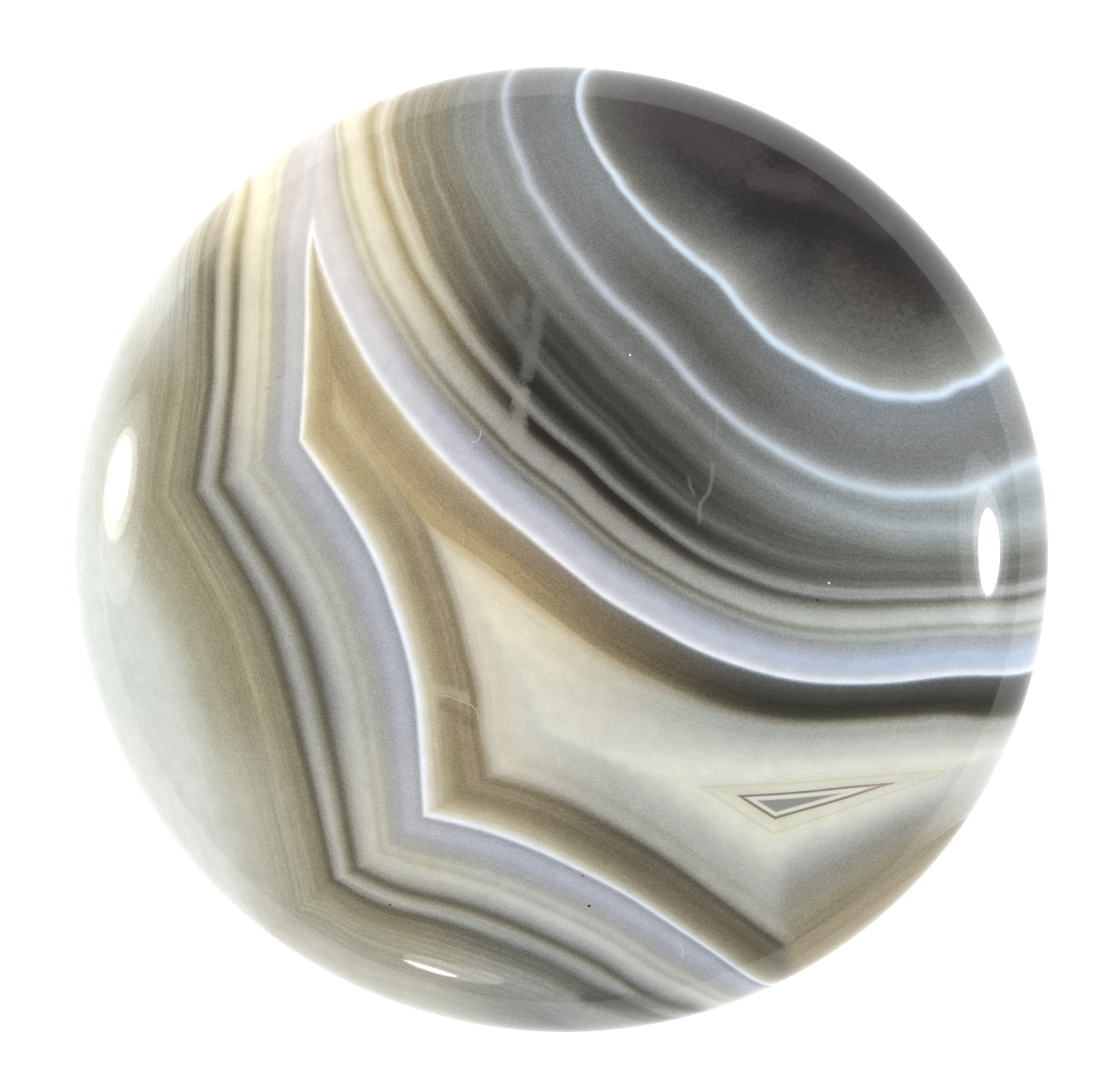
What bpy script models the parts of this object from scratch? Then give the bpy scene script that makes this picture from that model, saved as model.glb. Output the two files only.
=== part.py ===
"""A palm stone of banded agate: one polished pebble, in metres, lying on its ground foot with its face up.

The outline is all but round and the section is a low ellipse. The profile is turned about +Z, and the turned
form is then made a very little narrower across its short way.
"""

import math

import bpy

# Driving dimensions
LENGTH = 0.0600  # outline, the long way
WIDTH = 0.0595  # outline, the short way
THICKNESS = 0.0218  # section of the whole ellipse, before the foot is ground flat
FOOT_DIAMETER = 0.0160  # the small flat that the stone rests on
LONG_WAY_TURN = math.radians(-17)  # the outline's long way, turned from +X about +Z

# Fineness of the turned surface
STEPS_AROUND = 96
STEPS_ABOVE = 18  # from the crown down to the widest line
STEPS_BELOW = 15  # from the widest line down to the foot

# Finish
STONE_COLOUR = (0.42, 0.40, 0.36, 1.0)
STONE_ROUGHNESS = 0.12

COLLECTION = "botswana_agate_palm_stone"
MERGE_DISTANCE = 1e-6


def clear_scene():
    for old in list(bpy.data.objects):
        bpy.data.objects.remove(old, do_unlink=True)


def stone_material():
    material = bpy.data.materials.new("polished_agate")
    material.use_nodes = True
    shader = material.node_tree.nodes["Principled BSDF"]
    shader.inputs["Base Color"].default_value = STONE_COLOUR
    shader.inputs["Roughness"].default_value = STONE_ROUGHNESS
    shader.inputs["Metallic"].default_value = 0.0
    return material


def stone_profile():
    """The half section as (radius, height) points, from the crown down the outer side to the foot's middle."""
    long_radius = LENGTH / 2
    half_thickness = THICKNESS / 2
    foot_radius = FOOT_DIAMETER / 2
    foot_angle = -math.acos(foot_radius / long_radius)
    foot_height = half_thickness * math.sin(foot_angle)
    above = [math.pi / 2 * (1 - step / STEPS_ABOVE) for step in range(STEPS_ABOVE)]
    below = [foot_angle * step / STEPS_BELOW for step in range(STEPS_BELOW + 1)]
    profile = []
    for angle in above + below:
        radius = long_radius * math.cos(angle)
        height = half_thickness * math.sin(angle) - foot_height
        profile.append((radius, height))
    profile[0] = (0.0, half_thickness - foot_height)
    profile[-1] = (foot_radius, 0.0)
    profile.append((0.0, 0.0))
    return profile


def make_stone(collection):
    points = [(radius, 0.0, height) for radius, height in stone_profile()]
    edges = [(index, index + 1) for index in range(len(points) - 1)]
    mesh = bpy.data.meshes.new("stone")
    mesh.from_pydata(points, edges, [])
    stone = bpy.data.objects.new("stone", mesh)
    collection.objects.link(stone)
    mesh.materials.append(stone_material())
    turn = stone.modifiers.new("turn", "SCREW")
    turn.axis = "Z"
    turn.angle = math.tau
    turn.steps = STEPS_AROUND
    turn.render_steps = STEPS_AROUND
    turn.use_merge_vertices = True
    turn.merge_threshold = MERGE_DISTANCE
    turn.use_smooth_shade = True
    stone.scale = (1.0, WIDTH / LENGTH, 1.0)
    stone.rotation_euler = (0.0, 0.0, LONG_WAY_TURN)
    return stone


def main():
    clear_scene()
    collection = bpy.data.collections.new(COLLECTION)
    bpy.context.scene.collection.children.link(collection)
    make_stone(collection)


main()
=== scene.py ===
"""The looks of the agate palm stone: its banding and polish, the light, the floor and the camera.

The banding is a field of levels in millimetres, worked out for each vertex from contour points.
Level 0 is the white wall line round the middle. Levels above 0 run outwards through the bands, and levels
below 0 run inwards. Each wall has its own family of contours, and the highest family wins at each point,
which gives the sharp corners where two walls meet.
"""

import math

import bpy
import numpy as np
from mathutils import Matrix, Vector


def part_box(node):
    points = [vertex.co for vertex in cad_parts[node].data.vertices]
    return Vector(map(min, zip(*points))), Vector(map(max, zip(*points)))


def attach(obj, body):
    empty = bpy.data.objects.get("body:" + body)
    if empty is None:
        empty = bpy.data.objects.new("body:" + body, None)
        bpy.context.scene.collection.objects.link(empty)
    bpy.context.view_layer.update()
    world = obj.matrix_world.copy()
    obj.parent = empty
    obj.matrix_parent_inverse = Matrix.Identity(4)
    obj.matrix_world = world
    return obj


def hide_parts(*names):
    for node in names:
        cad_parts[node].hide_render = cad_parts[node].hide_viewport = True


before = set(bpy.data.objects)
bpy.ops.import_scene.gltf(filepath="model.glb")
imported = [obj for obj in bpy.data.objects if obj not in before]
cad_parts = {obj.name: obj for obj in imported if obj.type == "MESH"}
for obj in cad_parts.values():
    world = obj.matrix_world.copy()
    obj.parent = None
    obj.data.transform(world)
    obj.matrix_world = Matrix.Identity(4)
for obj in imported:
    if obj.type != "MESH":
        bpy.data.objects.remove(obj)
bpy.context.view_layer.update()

# The stone, read from the frame
LONG_HALF = 0.0300
SHORT_HALF = 0.02975
HALF_THICKNESS = 0.0109
LONG_WAY_TURN = math.radians(-17)
FOOT_RADIUS = 0.0080
CROWN = float(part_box("stone")[1][2])
WAIST = CROWN - HALF_THICKNESS

# The mesh
STEPS_AROUND = 400
RINGS_ABOVE = 150
RINGS_BELOW = 40
EVEN_SHARE = 0.7  # how far the rings above are spaced evenly in plan, and not by angle

# The photograph's frame and the camera
PHOTO_WIDTH = 1117
PHOTO_HEIGHT = 1089
STONE_CENTRE_PIXEL = (561.3, 547.8)
PIXELS_PER_METRE = 16270
CAMERA_DISTANCE = 0.60
CAMERA_LEAN = math.radians(5)
CAMERA_LEAN_TOWARDS = math.radians(-107)
SENSOR_WIDTH = 36.0

# The bands lean: they shift by this much for each unit of depth below the crown
BAND_LEAN = np.array((0.38, 0.22))

# Levels of the contours, in millimetres from the white wall line
INNERMOST = -10.0
BROWN_EDGE = -3.0
WALL = 0.0
THIN_BAND = 3.7
FIRST_DARK = 5.8
SOOT_THREAD = 8.5
SOOT_END = 11.0
MIST = 13.0
OUTER_WHITE = 14.5
CORE_WHITE = 19.7
SIDE_DARK = 4.9
SIDE_SECOND_DARK = 6.4

# Contours of each wall, as pixels of the photograph. They were placed by eye, and many were then moved to
# where a measuring script found the line lightest or darkest.
CORE_PIXEL = (850, 190)
UPPER_WALL = {
    INNERMOST: [(560, 812), (650, 804), (740, 796), (820, 790), (893, 783), (980, 776)],
    BROWN_EDGE: [
        (425, 522), (475, 555), (525, 595), (575, 633), (625, 665), (675, 690), (725, 710), (775, 721),
        (850, 722), (900, 719), (950, 716), (995, 720),
    ],
    WALL: [
        (312, 225), (326, 275), (348, 324), (376, 374), (402, 409), (426, 439), (476, 490), (500, 512),
        (525, 532), (550, 553), (576, 574), (601, 594), (651, 624), (700, 650), (740, 665), (780, 676),
        (820, 682), (850, 683), (900, 681), (940, 676), (960, 674), (1000, 674), (1015, 674), (1034, 668),
    ],
    THIN_BAND: [
        (340, 120), (344, 144), (349, 184), (355, 205), (366, 240), (382, 280), (403, 317), (440, 375),
        (480, 420), (520, 460),
        (560, 491), (600, 528), (640, 558), (680, 582), (720, 602), (760, 618), (800, 628), (860, 632),
        (900, 630), (940, 627), (1000, 626), (1020, 626),
    ],
    FIRST_DARK: [
        (371, 130), (376, 161), (383, 190), (398, 231), (411, 262), (433, 299), (461, 342), (479, 364),
        (498, 386), (517, 406), (536, 425), (556, 442), (600, 481), (640, 515), (682, 547), (708, 563),
        (760, 586), (796, 596), (828, 601), (862, 603), (896, 602), (940, 601), (1000, 599), (1019, 597),
        (1040, 592),
    ],
    SOOT_THREAD: [
        (433, 167), (472, 263), (507, 324), (560, 387), (605, 430), (650, 475), (704, 518), (752, 542),
        (827, 563), (888, 565), (934, 567),
    ],
    SOOT_END: [
        (454, 149), (508, 256), (545, 309), (584, 353), (621, 393), (661, 431), (705, 471), (759, 508),
        (808, 530), (865, 544), (896, 552), (929, 553),
    ],
    MIST: [
        (495, 173), (527, 237), (562, 288), (589, 319), (616, 347), (644, 371), (679, 405), (718, 441),
        (765, 477), (810, 501), (861, 519), (901, 528), (943, 529),
    ],
    OUTER_WHITE: [
        (503, 85), (505, 125), (513, 148), (523, 175), (551, 224), (576, 258), (587, 273), (600, 287),
        (613, 301), (630, 316), (651, 335), (662, 347), (675, 362), (690, 380), (706, 397), (725, 414),
        (766, 444), (804, 466), (826, 477), (849, 485), (875, 491), (902, 495), (930, 495), (960, 492),
        (990, 483), (1018, 467),
    ],
    CORE_WHITE: [
        (585, 73), (579, 97), (588, 130), (609, 168), (622, 187), (640, 208), (659, 228), (676, 244),
        (700, 264), (713, 274), (724, 285), (738, 304), (752, 320), (768, 337), (783, 348), (794, 355),
        (825, 373), (845, 383), (865, 390), (884, 395), (903, 396), (925, 396), (950, 390), (975, 380),
        (990, 371), (1003, 360),
    ],
}
LEFT_WALL = {
    WALL: [(327, 175), (322, 200), (313, 225), (309, 250), (307, 325), (304, 400), (301, 440)],
    SIDE_DARK: [
        (253, 170), (247, 198), (242, 224), (239, 250), (235, 350), (234, 376), (231, 401), (226, 450),
        (221, 482),
    ],
    SIDE_SECOND_DARK: [
        (230, 175), (220, 225), (214, 257), (213, 300), (212, 333), (209, 400), (204, 433), (196, 490),
    ],
}
LOWER_LEFT_WALL = {
    BROWN_EDGE: [
        (425, 522), (440, 562), (453, 600), (466, 650), (478, 700), (479, 725), (489, 776),
    ],
    WALL: [
        (301, 440), (325, 475), (350, 513), (371, 550), (385, 583), (393, 607), (401, 630), (408, 654),
        (414, 680), (421, 750),
        (425, 815),
    ],
    SIDE_DARK: [
        (221, 482), (240, 512), (275, 570), (302, 625), (317, 675), (328, 725), (339, 775), (348, 825),
        (356, 868),
    ],
    SIDE_SECOND_DARK: [
        (196, 490), (223, 536), (261, 605), (280, 660), (295, 715), (307, 765), (317, 809), (327, 853),
        (332, 878),
    ],
}
LOWEST_WALL = {
    INNERMOST: [(600, 706), (690, 764), (740, 796), (775, 818), (830, 852)],
    BROWN_EDGE: [
        (489, 776), (525, 786), (575, 807), (625, 835), (675, 867), (725, 904), (787, 947),
    ],
    WALL: [
        (425, 815), (475, 827), (525, 844), (575, 867), (625, 893), (676, 926), (727, 961), (765, 984),
    ],
    SIDE_DARK: [
        (356, 868), (400, 888), (450, 901), (500, 918), (550, 940), (601, 965), (650, 996), (690, 1009),
    ],
    SIDE_SECOND_DARK: [
        (332, 878), (354, 893), (376, 904), (400, 912), (450, 925), (500, 943), (550, 963), (590, 985),
        (641, 1009), (665, 1018),
    ],
}
CORNER_WALL = {
    INNERMOST: [(740, 829), (775, 818), (893, 783), (930, 772)],
    BROWN_EDGE: [(785, 948), (850, 902), (915, 855), (940, 835)],
    WALL: [(820, 990), (885, 942), (975, 877)],
}
LEFT_ALONG = (0.0, 1.0)
LOWER_LEFT_ALONG = (0.316, 0.949)
LOWEST_ALONG = (0.903, 0.429)
CORNER_ALONG = (0.81, -0.59)
LEAST_BAND = 0.15  # no two contours of a wall come nearer than this, in millimetres
CONTOUR_SMOOTHING = 0.3  # in millimetres along the contour
SMOOTHING_STEP = 0.1
FAR_AWAY = 9.0  # for marks, which the underside hasn't got
ARM = 20.0  # the round axes measure their angle as millimetres along a circle of this radius

# Colours as they look under the scene's light, as 8-bit sRGB
LIGHT_ON_TOP = 1.25  # what a white surface facing up sends back
SHEEN_ON_TOP = 0.013  # what the polish adds to every colour
LEAST_SHADE = 0.003


def unit(vector):
    return np.asarray(vector, float) / np.linalg.norm(vector)


def camera_axes():
    """The camera's right, up and backward directions."""
    back = np.array((
        math.sin(CAMERA_LEAN) * math.cos(CAMERA_LEAN_TOWARDS),
        math.sin(CAMERA_LEAN) * math.sin(CAMERA_LEAN_TOWARDS),
        math.cos(CAMERA_LEAN),
    ))
    right = unit(np.cross((0.0, 1.0, 0.0), back))
    return right, np.cross(back, right), back


def camera_place():
    right, up, back = camera_axes()
    shift_x = (PHOTO_WIDTH / 2 - STONE_CENTRE_PIXEL[0]) / PIXELS_PER_METRE
    shift_y = (STONE_CENTRE_PIXEL[1] - PHOTO_HEIGHT / 2) / PIXELS_PER_METRE
    return np.array((0.0, 0.0, WAIST)) + back * CAMERA_DISTANCE + right * shift_x + up * shift_y


def on_stone(pixels):
    """The points of the stone at these pixels of the photograph. Beside the stone, points at its waist."""
    right, up, back = camera_axes()
    pixels = np.asarray(pixels, float)
    across = (pixels[:, 0] - PHOTO_WIDTH / 2) / PIXELS_PER_METRE
    along = (PHOTO_HEIGHT / 2 - pixels[:, 1]) / PIXELS_PER_METRE
    rays = -back * CAMERA_DISTANCE + np.outer(across, right) + np.outer(along, up)
    eye = camera_place()
    turn, half = turn_matrix(-LONG_WAY_TURN), np.array((LONG_HALF, SHORT_HALF, HALF_THICKNESS))
    start = (turn @ (eye - (0.0, 0.0, WAIST))) / half
    ways = (rays @ turn.T) / half
    a = (ways ** 2).sum(1)
    b = (ways * start).sum(1)
    inside = b ** 2 - a * ((start ** 2).sum() - 1)
    reach = np.where(inside > 0, (-b - np.sqrt(np.maximum(inside, 0))) / a, (WAIST - eye[2]) / rays[:, 2])
    return eye + rays * reach[:, None]


def turn_matrix(angle):
    c, s = math.cos(angle), math.sin(angle)
    return np.array(((c, -s, 0.0), (s, c, 0.0), (0.0, 0.0, 1.0)))


def layer_points(points):
    """Where the leaning bands put these points: their place in plan at the crown's height, in millimetres."""
    points = np.asarray(points, float)
    depth = CROWN - points[:, 2]
    return (points[:, :2] - np.outer(depth, BAND_LEAN)) * 1000


def layer_of_pixels(pixels):
    return layer_points(on_stone(pixels))


def smooth_curve(xs, ys, x):
    """A cubic curve through the points, carried on straight beyond both ends."""
    order = np.argsort(xs)
    xs, ys = np.asarray(xs)[order], np.asarray(ys)[order]
    slopes = np.gradient(ys, xs)
    i = np.clip(np.searchsorted(xs, x) - 1, 0, len(xs) - 2)
    step = xs[i + 1] - xs[i]
    t = np.clip((x - xs[i]) / step, 0, 1)
    curve = (
        ys[i] * (1 + 2 * t) * (1 - t) ** 2 + slopes[i] * step * t * (1 - t) ** 2
        + ys[i + 1] * t ** 2 * (3 - 2 * t) + slopes[i + 1] * step * t ** 2 * (t - 1)
    )
    return curve + slopes[0] * np.minimum(x - xs[0], 0) + slopes[-1] * np.maximum(x - xs[-1], 0)


def round_axes(layer):
    """Place round the core from the lower left, and distance towards the core, both in millimetres."""
    arm = layer - layer_of_pixels([CORE_PIXEL])[0]
    angle = np.arctan2(arm[:, 0] - arm[:, 1], -arm[:, 0] - arm[:, 1])
    return angle * ARM, -np.hypot(arm[:, 0], arm[:, 1])


def straight_axes(along):
    """Axes along a wall and outwards from it. along is the wall's direction in the photograph."""
    way = unit((along[0], -along[1]))
    out = np.array((-way[1], way[0])) * -1

    def axes(layer):
        return layer @ way, layer @ out

    return axes


def smoothed(row, place):
    """The row with wobbles shorter than CONTOUR_SMOOTHING taken out."""
    low, high = place.min(), place.max()
    count = int((high - low) / SMOOTHING_STEP) + 2
    samples = np.linspace(low, high, count)
    reach = int(3 * CONTOUR_SMOOTHING / SMOOTHING_STEP)
    weights = np.exp(-0.5 * (np.arange(-reach, reach + 1) * SMOOTHING_STEP / CONTOUR_SMOOTHING) ** 2)
    values = np.convolve(np.pad(row(samples), reach, mode="reflect", reflect_type="odd"), weights, "valid")
    return np.interp(place, samples, values / weights.sum())


def wall_levels(contours, axes, layer):
    """The level of each point, from the contours of one wall.

    Each contour is kept as its distance from the one next to it on the wall line's side, so that beyond
    its ends it goes on beside that one.
    """
    along, across = axes(layer)

    def wall_row(place):
        return smooth_curve(*axes(layer_of_pixels(contours[WALL])), place)

    first_row = smoothed(wall_row, along)
    level = across - first_row
    for side in (1, -1):
        steps = sorted((step for step in contours if step * side > 0), key=abs)
        row, last_row, last_level = wall_row, first_row, WALL
        for step in steps:
            row = next_row(row, contours[step], axes, side)
            here = smoothed(row, along)
            share = (across - last_row) / (here - last_row)
            between = last_level + share * (step - last_level)
            beyond = step + (across - here)
            level = np.where(side * (across - last_row) > 0, between, level)
            level = np.where(side * (across - here) > 0, beyond, level)
            last_row, last_level = here, step
    return level


def next_row(inner_row, pixels, axes, side):
    """The contour through these pixels, as a function of the place along the wall."""
    places, acrosses = axes(layer_of_pixels(pixels))
    gaps = side * (acrosses - inner_row(places))

    def row(place):
        gap = smooth_curve(places, gaps, np.clip(place, places.min(), places.max()))
        return inner_row(place) + side * np.maximum(gap, LEAST_BAND)

    return row


def store(mesh, name, values):
    """Keeps a number or a vector for each vertex, for the material to read."""
    kind, field = ("FLOAT", "value") if values.ndim == 1 else ("FLOAT_VECTOR", "vector")
    attribute = mesh.attributes.new(name, kind, "POINT")
    attribute.data.foreach_set(field, np.ascontiguousarray(values, np.float32).ravel())


def along_strokes(strokes, layer):
    """For each point: how far it is across the nearest stroke, inside its nearer end and away from it."""
    nearest = np.full(len(layer), np.inf)
    result = np.zeros((len(layer), 3))
    for pixels in strokes:
        stroke = layer_of_pixels(pixels)
        steps = np.linalg.norm(np.diff(stroke, axis=0), axis=1)
        behind = np.concatenate(((0.0,), np.cumsum(steps)))
        for index, step in enumerate(steps):
            way = (stroke[index + 1] - stroke[index]) / step
            offset = layer - stroke[index]
            reach = offset @ way
            away = np.linalg.norm(offset - np.outer(np.clip(reach, 0.0, step), way), axis=1)
            across = offset[:, 0] * way[1] - offset[:, 1] * way[0]
            low = -np.inf if index == 0 else 0.0
            high = np.inf if index == len(steps) - 1 else step
            place = behind[index] + np.clip(reach, low, high)
            here = np.stack((across, np.minimum(place, behind[-1] - place), away), 1)
            closer = away < nearest
            nearest = np.where(closer, away, nearest)
            result = np.where(closer[:, None], here, result)
    return result


def profile():
    """The half section from the crown to the foot's rim, as (share of the outline, height) pairs."""
    foot_angle = -math.acos(FOOT_RADIUS / LONG_HALF)
    tilts = np.linspace(0.0, math.pi / 2, 2000)
    measure = EVEN_SHARE * np.sin(tilts) + (1 - EVEN_SHARE) * tilts / (math.pi / 2)
    above = math.pi / 2 - np.interp(np.arange(1, RINGS_ABOVE + 1) / RINGS_ABOVE, measure, tilts)
    below = [foot_angle * step / RINGS_BELOW for step in range(1, RINGS_BELOW + 1)]
    angles = [*above, *below]
    return [(math.cos(angle), WAIST + HALF_THICKNESS * math.sin(angle)) for angle in angles]


def stone_mesh():
    rings = profile()
    around = np.arange(STEPS_AROUND) * math.tau / STEPS_AROUND
    outline = np.stack((np.cos(around) * LONG_HALF, np.sin(around) * SHORT_HALF, np.zeros(STEPS_AROUND)), 1)
    outline = outline @ turn_matrix(LONG_WAY_TURN).T
    points = [(0.0, 0.0, CROWN)]
    for share, height in rings:
        ring = outline * share
        ring[:, 2] = height
        points += ring.tolist()
    foot = len(points)
    points.append((0.0, 0.0, 0.0))
    faces = []
    for i in range(STEPS_AROUND):
        j = (i + 1) % STEPS_AROUND
        faces.append((0, 1 + i, 1 + j))
        for ring in range(len(rings) - 1):
            upper, lower = 1 + ring * STEPS_AROUND, 1 + (ring + 1) * STEPS_AROUND
            faces.append((upper + i, lower + i, lower + j, upper + j))
        last = 1 + (len(rings) - 1) * STEPS_AROUND
        faces.append((foot, last + j, last + i))
    mesh = bpy.data.meshes.new("banded_stone")
    mesh.from_pydata(points, [], faces)
    mesh.shade_smooth()
    return mesh, np.array(points)


def dress_mesh(mesh, points):
    layer = layer_points(points)
    store(mesh, "upper", wall_levels(UPPER_WALL, round_axes, layer))
    store(mesh, "left", wall_levels(LEFT_WALL, straight_axes(LEFT_ALONG), layer))
    store(mesh, "lower_left", wall_levels(LOWER_LEFT_WALL, straight_axes(LOWER_LEFT_ALONG), layer))
    store(mesh, "lowest", wall_levels(LOWEST_WALL, straight_axes(LOWEST_ALONG), layer))
    store(mesh, "corner", wall_levels(CORNER_WALL, straight_axes(CORNER_ALONG), layer))
    store(mesh, "bearing", round_axes(layer)[0] / ARM)
    store(mesh, "layer", np.concatenate((layer, points[:, 2:] * 1000), 1))
    below = points[:, 2] < WAIST
    for name, (strokes, *_) in MARKS.items():
        mark = along_strokes(strokes, layer)
        mark[below] = FAR_AWAY
        store(mesh, name, mark)
    for name, (strokes, width, *_) in PATCHES.items():
        patch = along_strokes(strokes, layer)[:, 2] / (width / 2)
        patch[below] = FAR_AWAY
        store(mesh, name, patch)


def shade(red, green, blue):
    """The surface colour that looks like this 8-bit sRGB colour under the scene's light."""
    linear = []
    for value in (red, green, blue):
        value /= 255
        linear.append(value / 12.92 if value <= 0.04045 else ((value + 0.055) / 1.055) ** 2.4)
    return tuple(max((value - SHEEN_ON_TOP) / LIGHT_ON_TOP, LEAST_SHADE) for value in linear) + (1.0,)


class Nodes:
    """Builds a node tree by calls that read like sums."""

    def __init__(self, tree):
        self.tree = tree

    def add(self, kind, **settings):
        node = self.tree.nodes.new(kind)
        for name, value in settings.items():
            setattr(node, name, value)
        return node

    def feed(self, socket, value):
        if isinstance(value, bpy.types.NodeSocket):
            self.tree.links.new(value, socket)
        else:
            socket.default_value = value

    def math(self, operation, *values):
        node = self.add("ShaderNodeMath", operation=operation)
        for socket, value in zip(node.inputs, values):
            self.feed(socket, value)
        return node.outputs[0]

    def vector(self, operation, *values):
        node = self.add("ShaderNodeVectorMath", operation=operation)
        for socket, value in zip(node.inputs, values):
            self.feed(socket, value)
        return node.outputs["Value" if operation in ("DISTANCE", "DOT_PRODUCT") else "Vector"]

    def attribute(self, name, output="Fac"):
        return self.add("ShaderNodeAttribute", attribute_name=name).outputs[output]

    def rise(self, value, start, end, low=0.0, high=1.0):
        """low up to start, high from end, and a smooth turn between."""
        node = self.add("ShaderNodeMapRange", interpolation_type="SMOOTHSTEP")
        for socket, number in zip(node.inputs, (value, start, end, low, high)):
            self.feed(socket, number)
        return node.outputs[0]

    def wins(self, first, second, softness):
        """1 where first is above second, 0 where it is below, with a soft change between."""
        return self.rise(self.math("SUBTRACT", first, second), -softness, softness)

    def brighten(self, colour, pattern, strength):
        """The colour lightened where the pattern is above a half and darkened where it is below."""
        doubled = self.math("MULTIPLY", strength, 2.0)
        swing = self.math("MULTIPLY", self.math("SUBTRACT", pattern, 0.5), doubled)
        node = self.add("ShaderNodeVectorMath", operation="SCALE")
        self.feed(node.inputs[0], colour)
        self.feed(node.inputs["Scale"], self.math("ADD", swing, 1.0))
        return node.outputs[0]

    def line(self, value, place, width, soft=0.5):
        """1 along value = place, falling to 0 at half the width on each side."""
        away = self.math("ABSOLUTE", self.math("SUBTRACT", value, place))
        return self.rise(away, width / 2 * (1 - soft), width / 2, 1.0, 0.0)

    def mix(self, share, first, second):
        node = self.add("ShaderNodeMix", data_type="RGBA")
        self.feed(node.inputs["Factor"], share)
        self.feed(node.inputs[6], first)
        self.feed(node.inputs[7], second)
        return node.outputs[2]

    def stops_along(self, value, stops):
        """A ramp along value from (place, colour) pairs. The places are scaled to the ramp's 0 to 1."""
        start, end = stops[0][0], stops[-1][0]
        share = self.math("DIVIDE", self.math("SUBTRACT", value, start), end - start)
        node = self.add("ShaderNodeValToRGB")
        elements = node.color_ramp.elements
        elements.remove(elements[1])
        elements[0].position = 0.0
        elements[0].color = stops[0][1]
        for place, colour in stops[1:]:
            elements.new((place - start) / (end - start)).color = colour
        self.feed(node.inputs[0], share)
        return node.outputs[0]

    def ramp(self, value, stops):
        """Colours at places along value, as (place, 8-bit colour) pairs."""
        return self.stops_along(value, [(place, shade(*colour)) for place, colour in stops])

    def ramp_value(self, value, stops):
        """Numbers at places along value, as (place, number) pairs."""
        return self.stops_along(value, [(place, (number,) * 3 + (1.0,)) for place, number in stops])

    def noise(self, vector, scale, detail, roughness):
        node = self.add("ShaderNodeTexNoise")
        self.feed(node.inputs["Vector"], vector)
        node.inputs["Scale"].default_value = scale
        node.inputs["Detail"].default_value = detail
        node.inputs["Roughness"].default_value = roughness
        return node.outputs["Fac"]


# The polish: a clear coat over a matt body
BODY_ROUGHNESS = 0.28
BODY_SPECULAR = 0.12
AGATE_IOR = 1.54
COAT_WEIGHT = 0.7
COAT_ROUGHNESS = 0.045

# The floor
FLOOR_RADIUS = 6.0
FLOOR_COLOUR = (0.93, 0.93, 0.93, 1.0)
FLOOR_ROUGHNESS = 0.9
FLOOR_GLOW = 0.3

# The light. Each lamp: azimuth, elevation, width and height in degrees seen from the stone, and radiance
LAMP_DISTANCE = 0.8
LAMPS = {
    "right_softbox": (3.8, 21.5, 10.6, 10.6, 30.0),
    "right_glow": (5.0, 21.5, 14.0, 15.0, 4.0),
    "right_haze": (5.2, 22.0, 22.0, 24.0, 1.6),
    "left_softbox": (167.3, 10.4, 10.6, 15.0, 30.0),
    "left_glow": (168.0, 10.5, 15.0, 22.0, 5.5),
    "left_haze": (170.0, 11.0, 28.0, 32.0, 1.9),
    "bottom_gleam": (252.8, 12.5, 7.5, 3.4, 16.0),
    "bottom_glow": (256.0, 15.5, 14.0, 10.0, 3.5),
}
OVERHEAD_ANGLE = math.radians(120)
OVERHEAD_STRENGTH = 2.55
SURROUND_STRENGTHS = (0.24, 0.32)  # at the horizon and overhead

# Texture finer than the bands
STREAKS_PER_MILLIMETRE = 4.2
STREAK_LENGTHS = (0.09, 0.09, 0.0)
GRAIN_PER_MILLIMETRE = 8.0
MOTTLE_PER_MILLIMETRE = 0.9
STREAK_STRENGTH = [
    (-10.0, 0.03), (-4.0, 0.07), (-3.0, 0.36), (-1.6, 0.30), (0.0, 0.04), (3.0, 0.05), (5.0, 0.12),
    (6.8, 0.46), (10.6, 0.46), (12.0, 0.16), (14.0, 0.12), (17.0, 0.14), (20.0, 0.08), (26.0, 0.05),
]

# The colour lists below go back to colours measured in the photograph by level, at a few places along each
# wall, and were adjusted against renders.
# Bands outside the upper wall, from the wall line to the core, in the middle of the face
NEAR_BANDS = [
    (0.0, (234, 234, 236)), (0.12, (231, 231, 238)), (0.3, (218, 218, 226)), (0.45, (205, 205, 212)),
    (0.75, (192, 193, 202)), (1.6, (186, 187, 200)), (2.1, (165, 167, 175)), (2.55, (148, 150, 152)),
    (2.9, (125, 124, 120)), (3.07, (127, 126, 121)), (3.25, (140, 138, 130)), (3.4, (132, 129, 119)),
    (3.65, (102, 99, 86)), (3.78, (103, 100, 88)), (4.05, (153, 152, 146)), (4.3, (158, 156, 151)),
    (4.65, (149, 147, 138)), (5.05, (120, 117, 108)), (5.3, (68, 64, 56)), (5.55, (46, 44, 39)),
    (5.85, (50, 47, 43)), (6.05, (104, 102, 99)), (6.3, (133, 133, 130)), (6.5, (121, 120, 116)),
    (6.75, (88, 86, 81)), (7.0, (66, 64, 59)),
]
SOOT_BANDS = [
    (7.0, (66, 64, 59)), (7.3, (46, 45, 41)), (7.8, (47, 46, 43)), (8.05, (62, 62, 59)),
    (8.3, (88, 88, 86)), (8.55, (101, 101, 97)), (8.75, (86, 86, 81)), (8.95, (74, 75, 69)),
    (9.2, (78, 79, 74)), (9.45, (60, 60, 56)), (9.75, (57, 57, 54)), (10.1, (69, 69, 64)),
    (10.7, (66, 65, 60)), (11.0, (77, 77, 73)), (11.3, (97, 97, 93)), (11.6, (102, 102, 97)),
    (12.1, (93, 94, 89)), (12.5, (107, 108, 103)), (12.85, (124, 126, 123)), (13.05, (126, 127, 125)),
    (13.4, (116, 118, 115)), (13.7, (111, 114, 111)), (13.9, (112, 115, 111)),
]
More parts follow.
